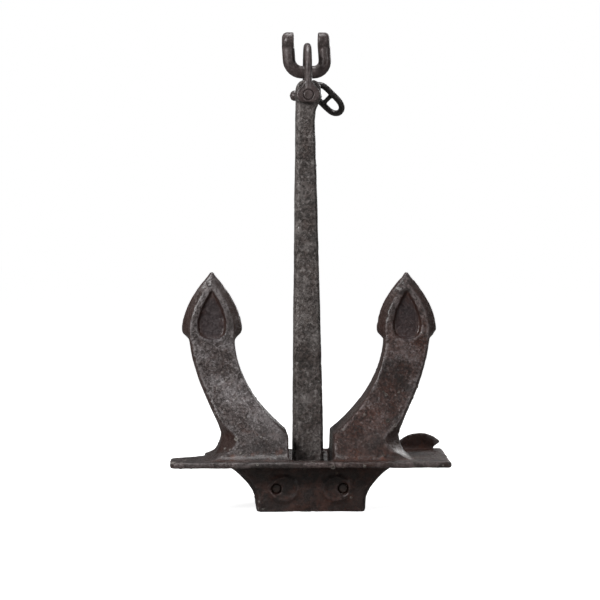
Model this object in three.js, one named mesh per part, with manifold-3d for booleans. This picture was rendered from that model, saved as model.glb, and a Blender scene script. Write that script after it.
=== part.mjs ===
// An old stockless anchor, standing on its crown. One cast head carries both arms, and a shank
// tilts in it on a crosswise pin that two lock bolts hold in from below. A shackle hangs on a pin
// through the shank's eye, with an open chain shackle through it and a seized stud link behind.
// Millimetres, +Z up, +X to the right, +Y to the back.
import * as THREE from 'three';
import { mergeVertices } from 'three/addons/utils/BufferGeometryUtils.js';
import Module from 'manifold-3d';

const wasm = await Module();
wasm.setup();

// ---- driving dimensions ----
const GAP = 0.3;                 // between pieces that touch
const SHANK_X = -9;              // the right wing is 18 mm longer, so the box's middle is off the shank

const HEAD_X = 5;                // the head sits a little to the right of the shank
const CROWN_HALF = 188;          // half width of the crown's foot
const CROWN_DEPTH = 145;         // half depth of the crown block
const CROWN_TOP = 172;           // inside the palm's thickness
const WING_UNDER = 160;          // underside and top of the tripping palm
const WING_TOP = 180;
const WING_FRONT = 240;          // half depth of the palm
const WING_LEFT = 479;
const WING_RIGHT = 497;
const FLAP = { x: 411, z: 131, radius: 108, front: 199, back: 213, foot: 166 };
const BOSS = { x: 90, z: 79, radius: 52, flat: 0.88, rim: 10, proud: 5, dish: 4 };

const SLOT_HALF = 78;            // half width of the slot for the shank
const TILT_LIMIT = 45;           // degrees each way
const SLOT_SPARE = 2;            // degrees that the slot opens past the limit
const PIN_Z = 128;
const PIN_RADIUS = 30;
const PIN_HALF = 150;
const BOLT_X = 115;
const BOLT_RADIUS = 18;
const BOLT_Z = PIN_Z - PIN_RADIUS - BOLT_RADIUS - GAP;

const ARM_FOOT = 166;            // where the arm's loft starts, inside the palm
const NECK_Z = 592;              // where the arm meets the fluke
const FLUKE_X = 340;
const NECK_HALF = 77.5;
const FLUKE_HALF = 106;          // half width of the fluke at its shoulders
const SHOULDER_Z = 615;
const TIP_Z = 823;
const MARGIN = 27;               // width of the sloping margin round the raised panel
const EDGE_HALF = 7;             // half thickness of the fluke's edge
const RECESS = { foot: 589, wide: 635, top: 761, half: 48, depth: 14 };

const FOOT_RADIUS = 75;          // round foot of the shank, about the crown pin
const SHANK_FOOT_HALF = 53;
const SHANK_FOOT_DEPTH = 75;     // half depth
const SHANK_NECK_DEPTH = 55;
const EYE_X = -2;
const EYE_Z = 1436;
const SHACKLE_PIN_RADIUS = 18;

const BOW = { rod: 13.5, y: 74, lugZ: 1443, lugFront: 84, top: 1620 };
const TOGGLE = { half: 58, neck: 9, ball: 19, y: 105, z: 1442 };
const CHAIN = { x: 0.5, lean: 0.06, rod: 22.5, half: 62.5, corner: 42, bottom: 1495 };
const CHAIN_LUG = { z: 1625, radius: 31, thick: 41, hole: 13 };
const LINK = { half: 74, wide: 46, rod: 11, stud: 8, x: 75.5, y: 124, z: 1431.5, droop: 45, turn: 50 };

const IRON = { rust: 0x4a3a33, dark: 0x39302c, grey: 0x57504b };

// ---- solids ----
function solid(geometry) {
  const bare = geometry.clone();
  bare.deleteAttribute('normal');
  bare.deleteAttribute('uv');
  const merged = mergeVertices(bare, 1e-3);
  const mesh = new wasm.Mesh({
    numProp: 3,
    vertProperties: Float32Array.from(merged.attributes.position.array),
    triVerts: Uint32Array.from(merged.index.array),
  });
  mesh.merge();
  return new wasm.Manifold(mesh);
}

function geometryOf(manifold) {
  const mesh = manifold.getMesh();
  const geometry = new THREE.BufferGeometry();
  geometry.setAttribute('position', new THREE.BufferAttribute(mesh.vertProperties, 3));
  geometry.setIndex(new THREE.BufferAttribute(mesh.triVerts, 1));
  geometry.computeVertexNormals();
  return geometry;
}

function union(solids) {
  return solids.reduce((whole, next) => whole.add(next));
}

function moved(geometry, x, y, z) {
  return geometry.translate(x, y, z);
}

// An outline of X and Z, made solid from y = -depth to y = +depth.
function extrudeXZ(shape, depth, bevel = 0, curveSegments = 12) {
  const flat = depth - bevel;
  const geometry = new THREE.ExtrudeGeometry(shape, {
    depth: 2 * flat,
    curveSegments,
    bevelEnabled: bevel > 0,
    bevelSize: bevel,
    bevelOffset: -bevel,
    bevelThickness: bevel,
    bevelSegments: 2,
  });
  return geometry.rotateX(Math.PI / 2).translate(0, flat, 0);
}

// An outline of Y and Z, made solid from x = -half to x = +half.
function extrudeYZ(shape, half) {
  const settings = { depth: 2 * half, curveSegments: 8, bevelEnabled: false };
  const geometry = new THREE.ExtrudeGeometry(shape, settings);
  const toYZ = new THREE.Matrix4().makeBasis(
    new THREE.Vector3(0, 1, 0), new THREE.Vector3(0, 0, 1), new THREE.Vector3(1, 0, 0));
  return geometry.applyMatrix4(toYZ).translate(-half, 0, 0);
}

// Points of radius and height for a turned piece.
function profileOf(points) {
  return points.map(([radius, height]) => new THREE.Vector2(radius, height));
}

function rodAlongX(radius, half, segments = 24) {
  return new THREE.CylinderGeometry(radius, radius, 2 * half, segments).rotateZ(Math.PI / 2);
}

function rodAlongY(radius, half, segments = 24) {
  return new THREE.CylinderGeometry(radius, radius, 2 * half, segments);
}

// Joins rings of equal length into one closed body, capped at both ends.
function loft(rings) {
  const count = rings[0].length;
  const positions = rings.flat().flatMap((point) => [point.x, point.y, point.z]);
  const faces = [];
  for (let ring = 0; ring + 1 < rings.length; ring += 1) {
    for (let side = 0; side < count; side += 1) {
      const a = ring * count + side;
      const b = ring * count + ((side + 1) % count);
      faces.push(a, b, b + count, a, b + count, a + count);
    }
  }
  const last = (rings.length - 1) * count;
  for (let side = 1; side + 1 < count; side += 1) {
    faces.push(0, side + 1, side);
    faces.push(last, last + side, last + side + 1);
  }
  const geometry = new THREE.BufferGeometry();
  geometry.setAttribute('position', new THREE.Float32BufferAttribute(positions, 3));
  geometry.setIndex(faces);
  return geometry;
}

// Eight points round a flat bar whose faces look along Y: `left` and `right` are its edges in XZ,
// `half` its half thickness, and each bevel runs `across` the face and `down` the side.
function barRing(left, right, half, leftBevel, rightBevel, leftDown, rightDown = leftDown) {
  const across = right.clone().sub(left).normalize();
  const inLeft = left.clone().addScaledVector(across, leftBevel);
  const inRight = right.clone().addScaledVector(across, -rightBevel);
  const at = (point, y) => new THREE.Vector3(point.x, y, point.y);
  return [at(inLeft, -half), at(inRight, -half), at(right, rightDown - half), at(right, half - rightDown),
    at(inRight, half), at(inLeft, half), at(left, half - leftDown), at(left, leftDown - half)];
}

// ---- the cast head ----
// One section of the crown block across its depth, from the top's middle round the flared sides.
function crownRing(y, inset) {
  const flare = new THREE.CubicBezierCurve(new THREE.Vector2(312, CROWN_TOP), new THREE.Vector2(244, 134),
    new THREE.Vector2(196, 80), new THREE.Vector2(CROWN_HALF + 2, 40));
  const side = flare.getPoints(9).map((point, step) => {
    const pulled = inset * (1 + 1.6 * (1 - step / 9));
    return new THREE.Vector2(point.x - pulled, point.y);
  });
  side.push(new THREE.Vector2(CROWN_HALF - inset, 0));
  const left = side.map((point) => new THREE.Vector2(-point.x, point.y)).reverse();
  return [new THREE.Vector2(0, CROWN_TOP), ...side, ...left]
    .map((point) => new THREE.Vector3(HEAD_X + point.x, y, point.y));
}

function crownBlock() {
  const edge = 26;
  return solid(loft([crownRing(-CROWN_DEPTH, 9), crownRing(edge - CROWN_DEPTH, 0),
    crownRing(CROWN_DEPTH - edge, 0), crownRing(CROWN_DEPTH, 9)]));
}

// A rib in the corner between the crown's face and the palm above it.
function palmRib(face) {
  const shape = new THREE.Shape();
  shape.moveTo(face * (CROWN_DEPTH - 12), 122);
  shape.lineTo(face * CROWN_DEPTH, 136);
  shape.lineTo(face * (CROWN_DEPTH + 12), 152);
  shape.lineTo(face * (CROWN_DEPTH + 36), WING_UNDER + 4);
  shape.lineTo(face * (CROWN_DEPTH - 12), WING_UNDER + 4);
  return solid(moved(extrudeYZ(shape, CROWN_HALF + 2), HEAD_X, 0, 0));
}

// The tripping palm seen from above. Its left rear part has broken away along a ragged line, and at
// the right rear a strip is torn loose and stands up as the flap.
function palm() {
  const shape = new THREE.Shape();
  shape.moveTo(-WING_LEFT, -WING_FRONT + 26);
  shape.quadraticCurveTo(-WING_LEFT, -WING_FRONT, -WING_LEFT + 30, -WING_FRONT);
  shape.lineTo(WING_LEFT - 12, -WING_FRONT);
  shape.quadraticCurveTo(WING_LEFT, -WING_FRONT, WING_LEFT + 1, -WING_FRONT + 14);
  shape.lineTo(WING_RIGHT, WING_FRONT - 10);
  shape.lineTo(WING_RIGHT - 8, WING_FRONT);
  shape.lineTo(462, WING_FRONT - 3);
  shape.lineTo(455, FLAP.back);
  shape.lineTo(318, FLAP.back);
  shape.lineTo(304, WING_FRONT);
  shape.lineTo(-310, WING_FRONT);
  shape.lineTo(-318, 168);
  shape.lineTo(-326, 100);
  shape.lineTo(-352, 58);
  shape.lineTo(-375, 3);
  shape.lineTo(-424, -30);
  shape.lineTo(-WING_LEFT + 4, -66);
  shape.lineTo(-WING_LEFT, -80);
  const thickness = WING_TOP - WING_UNDER;
  const bevel = 3;
  const geometry = new THREE.ExtrudeGeometry(shape, {
    depth: thickness - 2 * bevel,
    curveSegments: 5,
    bevelSize: bevel,
    bevelOffset: -bevel,
    bevelThickness: bevel,
    bevelSegments: 1,
  });
  return solid(moved(geometry, 0, 0, WING_UNDER + bevel));
}

// The torn strip, curled up into a half round that ends in a point.
function flap() {
  const tipAngle = THREE.MathUtils.degToRad(44);
  const footAngle = Math.PI - Math.asin((FLAP.foot - FLAP.z) / FLAP.radius);
  const shape = new THREE.Shape();
  shape.absarc(FLAP.x, FLAP.z, FLAP.radius, tipAngle, footAngle, false);
  shape.lineTo(448, FLAP.foot);
  shape.lineTo(455, WING_TOP);
  const half = (FLAP.back - FLAP.front) / 2;
  return solid(moved(extrudeXZ(shape, half, 2, 14), 0, (FLAP.back + FLAP.front) / 2, 0));
}

const ARM_SIDES = {
  inner: new THREE.CubicBezierCurve(new THREE.Vector2(74, 260), new THREE.Vector2(186, 354),
    new THREE.Vector2(254, 462), new THREE.Vector2(FLUKE_X - NECK_HALF, NECK_Z)),
  outer: new THREE.CubicBezierCurve(new THREE.Vector2(308, 258), new THREE.Vector2(312, 305),
    new THREE.Vector2(414, 455), new THREE.Vector2(FLUKE_X + NECK_HALF, NECK_Z)),
  fillet: new THREE.QuadraticBezierCurve(new THREE.Vector2(378, ARM_FOOT + 12), new THREE.Vector2(318, 200),
    new THREE.Vector2(308, 258)),
};

// Half thickness of the arm and the fluke's panel against height.
const ARM_SIDE_VIEW = new THREE.SplineCurve(profileOf([[150, 226], [178, 192], [190, 172], [206, 158],
  [230, 148], [300, 116], [420, 70], [NECK_Z, 46], [700, 33], [TIP_Z, 13]]));

// How far the hollow at the arm's outer foot cuts into its face, against height.
const ARM_HOLLOW = new THREE.SplineCurve(profileOf([[150, 4], [186, 10], [206, 42], [230, 54], [252, 54],
  [276, 34], [304, 14], [360, 9], [NECK_Z, 9], [TIP_Z, 9]]));

function heightCurve(curve) {
  const samples = curve.getPoints(90);
  return (z) => {
    const next = Math.max(1, samples.findIndex((point) => point.x >= z));
    const low = samples[next - 1];
    const high = samples[next];
    return THREE.MathUtils.mapLinear(z, low.x, high.x, low.y, high.y);
  };
}

const armHalf = heightCurve(ARM_SIDE_VIEW);
const armHollow = heightCurve(ARM_HOLLOW);

function armFootRings(thinner) {
  const rings = [];
  const steps = 12;
  for (let step = 0; step < steps; step += 1) {
    const along = (step / steps) ** 1.4;
    const outer = ARM_SIDES.fillet.getPoint(along);
    const inner = new THREE.Vector2(74, THREE.MathUtils.lerp(ARM_FOOT, 256, along));
    const low = new THREE.Vector2(outer.x, THREE.MathUtils.lerp(ARM_FOOT, outer.y, Math.sqrt(along)));
    const half = armHalf(THREE.MathUtils.lerp(inner.y, low.y, 0.5)) - thinner;
    rings.push(barRing(inner, low, half, 3, armHollow(low.y), 3, 62));
  }
  return rings;
}

function armRings(thinner) {
  const rings = [];
  const steps = 18;
  for (let step = 0; step < steps; step += 1) {
    const inner = ARM_SIDES.inner.getPoint(step / steps);
    const outer = ARM_SIDES.outer.getPoint(step / steps);
    const half = armHalf((inner.y + outer.y) / 2) - thinner;
    const fade = (1 - step / steps) ** 3;
    const outerDown = Math.min(half * 0.45, 14 + 48 * fade);
    rings.push(barRing(inner, outer, half, 4, armHollow(outer.y), 6, outerDown));
  }
  return rings;
}

function ogive(z, half, low, high) {
  const along = THREE.MathUtils.clamp((z - low) / (high - low), 0, 1);
  return half * (1 - along ** 1.9);
}

// The raised panel that carries the arm's face up to the fluke's point.
function panelRings(thinner) {
  const rings = [];
  const steps = 10;
  const top = TIP_Z - 34;
  for (let step = 0; step <= steps; step += 1) {
    const z = THREE.MathUtils.lerp(NECK_Z, top, step / steps);
    const half = z < SHOULDER_Z ? NECK_HALF + 2 : ogive(z, NECK_HALF + 2, SHOULDER_Z, top);
    const width = Math.max(half, 3);
    const thickness = Math.max(armHalf(z) - thinner, 2);
    const left = new THREE.Vector2(FLUKE_X - width, z);
    const right = new THREE.Vector2(FLUKE_X + width, z);
    rings.push(barRing(left, right, thickness, 2, 2, thickness * 0.2));
  }
  return rings;
}

function arm(thinner = 0) {
  return solid(loft([...armFootRings(thinner), ...armRings(thinner), ...panelRings(thinner)]));
}

// The fluke's blade: a spade whose margins slope from the panel down to the edge.
function blade() {
  const rings = [];
  const steps = 16;
  const foot = NECK_Z - 10;
  for (let step = 0; step <= steps; step += 1) {
    const z = THREE.MathUtils.lerp(foot, TIP_Z, step / steps);
    const shoulder = Math.min(1, (z - foot) / (SHOULDER_Z - foot));
    const spread = THREE.MathUtils.lerp(NECK_HALF - 4, FLUKE_HALF, shoulder);
    const width = Math.max(z < SHOULDER_Z ? spread : ogive(z, FLUKE_HALF, SHOULDER_Z, TIP_Z), 4);
    const margin = Math.min(MARGIN, width * 0.8);
    const centre = armHalf(z) - 3;
    const left = new THREE.Vector2(FLUKE_X - width, z);
    const right = new THREE.Vector2(FLUKE_X + width, z);
    rings.push(barRing(left, right, centre, margin, margin, centre - EDGE_HALF));
  }
  return solid(loft(rings));
}

// A teardrop sunk into both faces of the panel, as deep everywhere.
function tearRecess() {
  const { foot, wide, top, half, depth } = RECESS;
  const shape = new THREE.Shape();
  shape.moveTo(FLUKE_X, foot);
  shape.bezierCurveTo(FLUKE_X + half * 0.8, foot, FLUKE_X + half, wide - 24, FLUKE_X + half, wide);
  shape.bezierCurveTo(FLUKE_X + half, wide + 50, FLUKE_X + 18, top - 34, FLUKE_X, top);
  shape.bezierCurveTo(FLUKE_X - 18, top - 34, FLUKE_X - half, wide + 50, FLUKE_X - half, wide);
  shape.bezierCurveTo(FLUKE_X - half, wide - 24, FLUKE_X - half * 0.8, foot, FLUKE_X, foot);
  return solid(extrudeXZ(shape, 90, 0, 6)).subtract(arm(depth));
}

// Room for the shank between its two tilt limits, the pin's sockets and the way in from below.
function shankRoom() {
  const open = THREE.MathUtils.degToRad(TILT_LIMIT + SLOT_SPARE);
  const clear = FOOT_RADIUS + 4;
  const reach = 700;
  const corner = new THREE.Vector2(clear * Math.cos(open), PIN_Z - clear * Math.sin(open));
  const far = corner.clone().add(new THREE.Vector2(Math.sin(open), Math.cos(open)).multiplyScalar(reach));
  const shape = new THREE.Shape();
  shape.moveTo(-clear, -10);
  shape.lineTo(clear, -10);
  shape.lineTo(clear, PIN_Z);
  shape.lineTo(corner.x, corner.y);
  shape.lineTo(far.x, far.y);
  shape.lineTo(-far.x, far.y);
  shape.lineTo(-corner.x, corner.y);
  shape.lineTo(-clear, PIN_Z);
  return solid(moved(extrudeYZ(shape, SLOT_HALF), HEAD_X, 0, 0));
}

function pinRoom() {
  const radius = PIN_RADIUS + GAP;
  const shape = new THREE.Shape();
  shape.moveTo(-radius, -10);
  shape.lineTo(radius, -10);
  shape.lineTo(radius, PIN_Z);
  shape.absarc(0, PIN_Z, radius, 0, Math.PI, false);
  return solid(extrudeYZ(shape, PIN_HALF + 2));
}

function boltRoom(side) {
  return solid(moved(rodAlongY(BOLT_RADIUS + GAP, CROWN_DEPTH + 20), side * BOLT_X, 0, BOLT_Z));
}

// A worn round boss on the crown's face, dished in the middle.
function boss(side, face) {
  const { radius, rim, proud, dish } = BOSS;
  const inside = 30;
  const profile = profileOf([[0, -inside], [radius, -inside], [radius, proud - 3], [radius - 4, proud],
    [radius - rim, proud], [radius - rim - 5, proud - dish], [0, proud - dish]]);
  const turned = new THREE.LatheGeometry(profile, 28);
  if (face < 0) turned.rotateX(Math.PI);
  turned.scale(1, 1, BOSS.flat);
  return solid(moved(turned, side * BOSS.x + 2, face * CROWN_DEPTH, BOSS.z));
}

function flukeHead() {
  const side = union([arm(), blade()]).subtract(tearRecess());
  const rightSide = side.translate([HEAD_X, 0, 0]);
  const leftSide = side.mirror([1, 0, 0]).translate([HEAD_X, 0, 0]);
  const whole = union([crownBlock(), palmRib(-1), palmRib(1), palm(), flap(), rightSide, leftSide,
    boss(-1, -1), boss(1, -1), boss(-1, 1), boss(1, 1)]);
  const rooms = [shankRoom(), pinRoom(), boltRoom(-1), boltRoom(1)];
  return rooms.reduce((head, room) => head.subtract(room), whole);
}

// ---- crown pin and lock bolts ----
function domedRod(radius, half, dome) {
  const profile = profileOf([[0, -half], [radius - dome, -half], [radius, -half + dome],
    [radius, half - dome], [radius - dome, half], [0, half]]);
  return new THREE.LatheGeometry(profile, 24);
}

// ---- the shank ----
// Left edge, right edge and half depth against height: the bar is worn and leans to the left.
const SHANK_SECTIONS = [
  [PIN_Z, -SHANK_FOOT_HALF, SHANK_FOOT_HALF, SHANK_FOOT_DEPTH - 1],
  [345, -52, 49, 72],
  [620, -50, 42, 66],
  [900, -47, 35, 61],
  [1150, -45, 28.5, 57],
  [1350, -43, 22, SHANK_NECK_DEPTH],
  [1385, -42, 26, SHANK_NECK_DEPTH],
  [1415, -41.5, 40, SHANK_NECK_DEPTH],
  [1430, -41.5, 42, SHANK_NECK_DEPTH],
];

function shankBar() {
  const rings = SHANK_SECTIONS.map(([z, left, right, depth]) => (
    barRing(new THREE.Vector2(left, z), new THREE.Vector2(right, z), depth, 10, 10, 10)));
  return solid(loft(rings));
}

// The head round the eye, a block with a rounded top.
function shankHead() {
  const left = EYE_X - 40;
  const right = EYE_X + 45;
  const top = EYE_Z + 52;
  const round = 34;
  const shape = new THREE.Shape();
  shape.moveTo(left + 6, EYE_Z - 30);
  shape.lineTo(right - 12, EYE_Z - 30);
  shape.lineTo(right, EYE_Z - 12);
  shape.lineTo(right, top - round);
  shape.quadraticCurveTo(right, top, right - round, top);
  shape.lineTo(left + round, top);
  shape.quadraticCurveTo(left, top, left, top - round);
  shape.lineTo(left, EYE_Z - 12);
  return solid(extrudeXZ(shape, SHANK_NECK_DEPTH, 5, 5));
}

function shank() {
  const foot = solid(moved(rodAlongX(FOOT_RADIUS, SHANK_FOOT_HALF, 40), 0, 0, PIN_Z));
  const footHole = solid(moved(rodAlongX(PIN_RADIUS + GAP, 90), 0, 0, PIN_Z));
  const eyeHole = solid(moved(rodAlongY(SHACKLE_PIN_RADIUS + GAP, 90), EYE_X, 0, EYE_Z));
  return union([shankBar(), foot, shankHead()]).subtract(footHole).subtract(eyeHole);
}

// ---- the anchor shackle, its pin and the keeper ----
// A round bar along a curve; `steps` pieces, `sides` round.
function bar(curve, radius, steps, sides) {
  const section = new THREE.Shape();
  section.absarc(0, 0, radius, 0, 2 * Math.PI, false);
  return solid(new THREE.ExtrudeGeometry(section, { extrudePath: curve, steps, curveSegments: sides / 2 }));
}

// A bow whose two limbs stand at `half` from its middle. It runs up from `foot`, round a corner of
// the given radius, across at the height `arch` + `corner`, and down again.
class BowCurve extends THREE.Curve {
  constructor({ half, foot, arch, corner, place }) {
    super();
    Object.assign(this, { half, foot, arch, corner, place });
  }

  // The first half of the bow, from the foot of the left limb to the middle of the top.
  halfPoint(along) {
    const { half, foot, arch, corner } = this;
    const leg = arch - foot;
    const turn = corner * Math.PI / 2;
    if (along < leg) return [-half, foot + along];
    if (along > leg + turn) return [-half + corner + (along - leg - turn), arch + corner];
    const angle = Math.PI - (along - leg) / corner;
    return [-half + corner + corner * Math.cos(angle), arch + corner * Math.sin(angle)];
  }

  getPoint(t, target = new THREE.Vector3()) {
    const { half, foot, arch, corner } = this;
    const reach = (arch - foot) + corner * Math.PI / 2 + (half - corner);
    const [across, z] = this.halfPoint(reach * (1 - Math.abs(2 * t - 1)));
    return target.copy(this.place(t < 0.5 ? across : -across, z));
  }
}

// A lug about the shackle pin: a bell that the limb's rod widens into.
function bowLug(side) {
  const outline = [[-22, -34], [-33, -27], [-40, -16], [-42, -2], [-37, 9], [-24, 22], [-14, 38]];
  const points = [...outline, ...outline.map(([x, z]) => [-x, z]).reverse()]
    .map(([x, z]) => new THREE.Vector2(EYE_X + x, BOW.lugZ + z));
  const inner = SHANK_NECK_DEPTH + 2;
  const half = (BOW.lugFront - inner) / 2;
  return solid(moved(extrudeXZ(new THREE.Shape(points), half, 4), 0, side * (inner + half), 0));
}

function anchorShackle() {
  const curve = new BowCurve({
    half: BOW.y,
    foot: BOW.lugZ,
    arch: BOW.top - BOW.rod - BOW.y,
    corner: BOW.y,
    place: (across, z) => new THREE.Vector3(EYE_X, across, z),
  });
  const hole = solid(moved(rodAlongY(SHACKLE_PIN_RADIUS + GAP, 120), EYE_X, 0, EYE_Z));
  return union([bar(curve, BOW.rod, 32, 12), bowLug(-1), bowLug(1)]).subtract(hole).subtract(keeperHole());
}

// The pin ends flush in the front lug, and behind the rear lug it has a crosswise toggle head.
function shacklePin() {
  const shaft = solid(moved(domedRod(SHACKLE_PIN_RADIUS, (BOW.lugFront + TOGGLE.y) / 2, 3),
    EYE_X, (TOGGLE.y - BOW.lugFront) / 2, EYE_Z));
  const { half, neck, ball } = TOGGLE;
  const profile = [new THREE.Vector2(0, -half)];
  for (let step = 1; step < 24; step += 1) {
    const x = THREE.MathUtils.lerp(-half, half, step / 24);
    const fromBall = Math.max(Math.abs(x) - (half - ball), -ball);
    const swell = Math.sqrt(ball ** 2 - fromBall ** 2);
    profile.push(new THREE.Vector2(Math.abs(x) < half - ball ? Math.max(swell, neck) : swell, x));
  }
  profile.push(new THREE.Vector2(0, half));
  const turned = new THREE.LatheGeometry(profile, 16).rotateZ(Math.PI / 2);
  const toggle = solid(moved(turned, EYE_X, TOGGLE.y, TOGGLE.z));
  return union([shaft, toggle]).subtract(keeperHole());
}

const KEEPER = { radius: 5, y: -70, foot: BOW.lugZ - 35, top: EYE_Z + 28 };

function keeperRod(radius, spare) {
  const half = (KEEPER.top - KEEPER.foot) / 2 + spare;
  const rod = new THREE.CylinderGeometry(radius * 0.8, radius, 2 * half, 16).rotateX(Math.PI / 2);
  return solid(moved(rod, EYE_X, KEEPER.y, (KEEPER.top + KEEPER.foot) / 2));
}

function keeperHole() {
  return keeperRod(KEEPER.radius + GAP, 0.5);
}

// ---- the chain shackle ----
// The middle of the bent shackle at a height: it leans to the left.
function chainMiddle(z) {
  return CHAIN.x - (z - CHAIN.bottom) * CHAIN.lean;
}

// Each lug is a thick disc, well rounded on its outer face and sharper towards the gap.
function chainLug(side) {
  const { z, radius, thick, hole } = CHAIN_LUG;
  const half = thick / 2;
  const profile = profileOf([[0, -half], [radius - 3, -half], [radius, -half + 3], [radius, half - 14],
    [radius - 5, half - 5], [radius - 14, half], [0, half]]);
  const turned = new THREE.LatheGeometry(profile, 24).rotateZ(-side * Math.PI / 2);
  const x = chainMiddle(z) + side * CHAIN.half;
  return {
    disc: solid(moved(turned, x, 0, z)),
    bore: solid(moved(rodAlongX(hole, thick), x, 0, z)),
  };
}

function chainShackle() {
  const curve = new BowCurve({
    half: CHAIN.half,
    foot: -CHAIN_LUG.z,
    arch: -(CHAIN.bottom + CHAIN.rod + CHAIN.corner),
    corner: CHAIN.corner,
    place: (across, z) => new THREE.Vector3(chainMiddle(-z) + across, 0, -z),
  });
  const lugs = [chainLug(-1), chainLug(1)];
  const whole = union([bar(curve, CHAIN.rod, 30, 14), ...lugs.map((lug) => lug.disc)]);
  return lugs.reduce((shackle, lug) => shackle.subtract(lug.bore), whole);
}

// ---- the stud link ----
// The link's own frame: long axis along X, its plane XY, before it is turned into place.
function linkLoop() {
  const radius = LINK.wide - LINK.rod;
  const straight = LINK.half - LINK.wide;
  class Stadium extends THREE.Curve {
    getPoint(t, target = new THREE.Vector3()) {
      const angle = 2 * Math.PI * t;
      const shift = straight * Math.tanh(6 * Math.cos(angle));
      return target.set(shift + radius * Math.cos(angle), radius * Math.sin(angle), 0);
    }
  }
  const points = new Stadium().getPoints(36).slice(0, -1);
  return new THREE.CatmullRomCurve3(points, true);
}

function studLink() {
  return bar(linkLoop(), LINK.rod, 36, 10);
}

function linkStud() {
  const reach = LINK.wide - 2 * LINK.rod;
  const profile = profileOf([[0, -reach], [LINK.stud + 3, -reach], [LINK.stud, -reach + 8],
    [LINK.stud, reach - 8], [LINK.stud + 3, reach], [0, reach]]);
  const rod = solid(new THREE.LatheGeometry(profile, 14));
  return rod.subtract(bar(linkLoop(), LINK.rod + GAP, 36, 10));
}

// ---- assembly ----
function piece(name, manifold, colour, roughness = 0.62) {
  const material = new THREE.MeshStandardMaterial({ color: colour, roughness, metalness: 0.6 });
  const mesh = new THREE.Mesh(geometryOf(manifold), material);
  mesh.name = name;
  return mesh;
}

function headPieces() {
  const crownPin = solid(moved(domedRod(PIN_RADIUS, PIN_HALF, 4).rotateZ(Math.PI / 2), 0, 0, PIN_Z));
  const pieces = [piece('fluke_head', flukeHead(), IRON.rust), piece('crown_pin', crownPin, IRON.dark)];
  for (const [name, side] of [['lock_bolt_left', -1], ['lock_bolt_right', 1]]) {
    const bolt = solid(moved(domedRod(BOLT_RADIUS, CROWN_DEPTH - 9, 4), side * BOLT_X, 0, BOLT_Z));
    pieces.push(piece(name, bolt, IRON.dark));
  }
  return pieces;
}

function shacklePieces() {
  return [
    piece('anchor_shackle', anchorShackle(), IRON.grey, 0.5),
    piece('shackle_pin', shacklePin(), IRON.dark, 0.55),
    piece('pin_keeper', keeperRod(KEEPER.radius, 0), IRON.dark),
    piece('chain_shackle', chainShackle(), IRON.grey, 0.5),
  ];
}

function linkPieces() {
  const group = new THREE.Group();
  group.position.set(LINK.x, LINK.y, LINK.z);
  group.rotation.set(0, THREE.MathUtils.degToRad(LINK.droop), 0);
  const leaned = new THREE.Group();
  leaned.rotation.set(THREE.MathUtils.degToRad(90 + LINK.turn), 0, 0);
  leaned.add(piece('stud_link', studLink(), IRON.dark, 0.6), piece('link_stud', linkStud(), IRON.dark, 0.6));
  group.add(leaned);
  return group;
}

const anchor = new THREE.Group();
anchor.name = 'stockless_anchor';
anchor.position.x = SHANK_X;
anchor.add(...headPieces(), piece('shank', shank(), IRON.rust), ...shacklePieces(), linkPieces());

export default anchor;
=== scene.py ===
"""Looks of an old stockless anchor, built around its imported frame.

The anchor stands on its crown: a cast head with two flukes, a tilting shank, a bow shackle on the shank's
eye, an open chain shackle and a stud link that rust holds. Each forging or casting is carried over from its
plain solid, rounded as a casting is, weathered by a node tree and dressed in a procedural iron finish.
Lumps of crust and barnacle scars are scattered over the head and the shank as pieces of their own.
"""
import logging
import math
from dataclasses import dataclass
from enum import Enum

import bmesh
import bpy
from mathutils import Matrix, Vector, noise


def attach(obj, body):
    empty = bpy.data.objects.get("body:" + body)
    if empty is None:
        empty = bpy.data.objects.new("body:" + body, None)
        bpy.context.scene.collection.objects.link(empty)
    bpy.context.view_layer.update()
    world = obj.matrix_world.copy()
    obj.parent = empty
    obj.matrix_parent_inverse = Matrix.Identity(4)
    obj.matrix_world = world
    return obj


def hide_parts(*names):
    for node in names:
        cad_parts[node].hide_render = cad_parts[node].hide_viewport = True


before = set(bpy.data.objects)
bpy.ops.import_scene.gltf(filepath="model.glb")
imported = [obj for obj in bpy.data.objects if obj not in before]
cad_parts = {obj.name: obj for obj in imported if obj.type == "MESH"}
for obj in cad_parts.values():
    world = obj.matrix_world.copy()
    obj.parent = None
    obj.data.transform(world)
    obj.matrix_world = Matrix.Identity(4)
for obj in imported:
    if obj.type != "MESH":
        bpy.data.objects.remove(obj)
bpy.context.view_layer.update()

SHANK_X = -0.009  # the shank's axis, left of the middle of the anchor's box
HEAD_X = -0.004  # the middle between the head's two arms

# Where the head's finish changes, each from one place to another, in metres.
LEFT_TO_RIGHT_X = (-0.14, 0.12)
# On the arms, between these two pairs of heights, the grey sheen is partly a painted glint.
ARM_BELOW_Z = (0.40, 0.20)
ARM_ABOVE_Z = (0.56, 0.66)
# Below these heights the head gets painted shade from the palm above it.
UNDER_PALM_Z = (0.215, 0.12)

# The crown's front face, where growth may sit in front of the slot that the shank tilts in.
CROWN_FACE_Y = (-0.15, -0.16)
CROWN_FACE_Z = (0.20, 0.19)

HOLLOW_BLUR = 10  # how often a point is averaged with its neighbours to find how hollow it lies
HOLLOW_GAIN = 400.0  # from the distance to that average, in metres, to a share

Colour = tuple[float, float, float]

log = logging.getLogger("anchor")


class Iron(Enum):
    """The anchor's irons, each under the name of its material slot, and the crust that grew on them."""

    HEAD = "head_iron"
    SHANK = "shank_iron"
    PIN = "pin_iron"
    SHACKLE = "shackle_iron"
    LINK = "link_iron"
    CRUST = "growth_crust"


class Mark(Enum):
    """What grew on the iron."""

    NODULE = "crust_nodule"
    SCAR = "barnacle_scar"


class Socket(Enum):
    """The kinds of input that a node tree takes."""

    GEOMETRY = "NodeSocketGeometry"
    NUMBER = "NodeSocketFloat"
    COUNT = "NodeSocketInt"
    OBJECT = "NodeSocketObject"
    MATERIAL = "NodeSocketMaterial"


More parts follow.
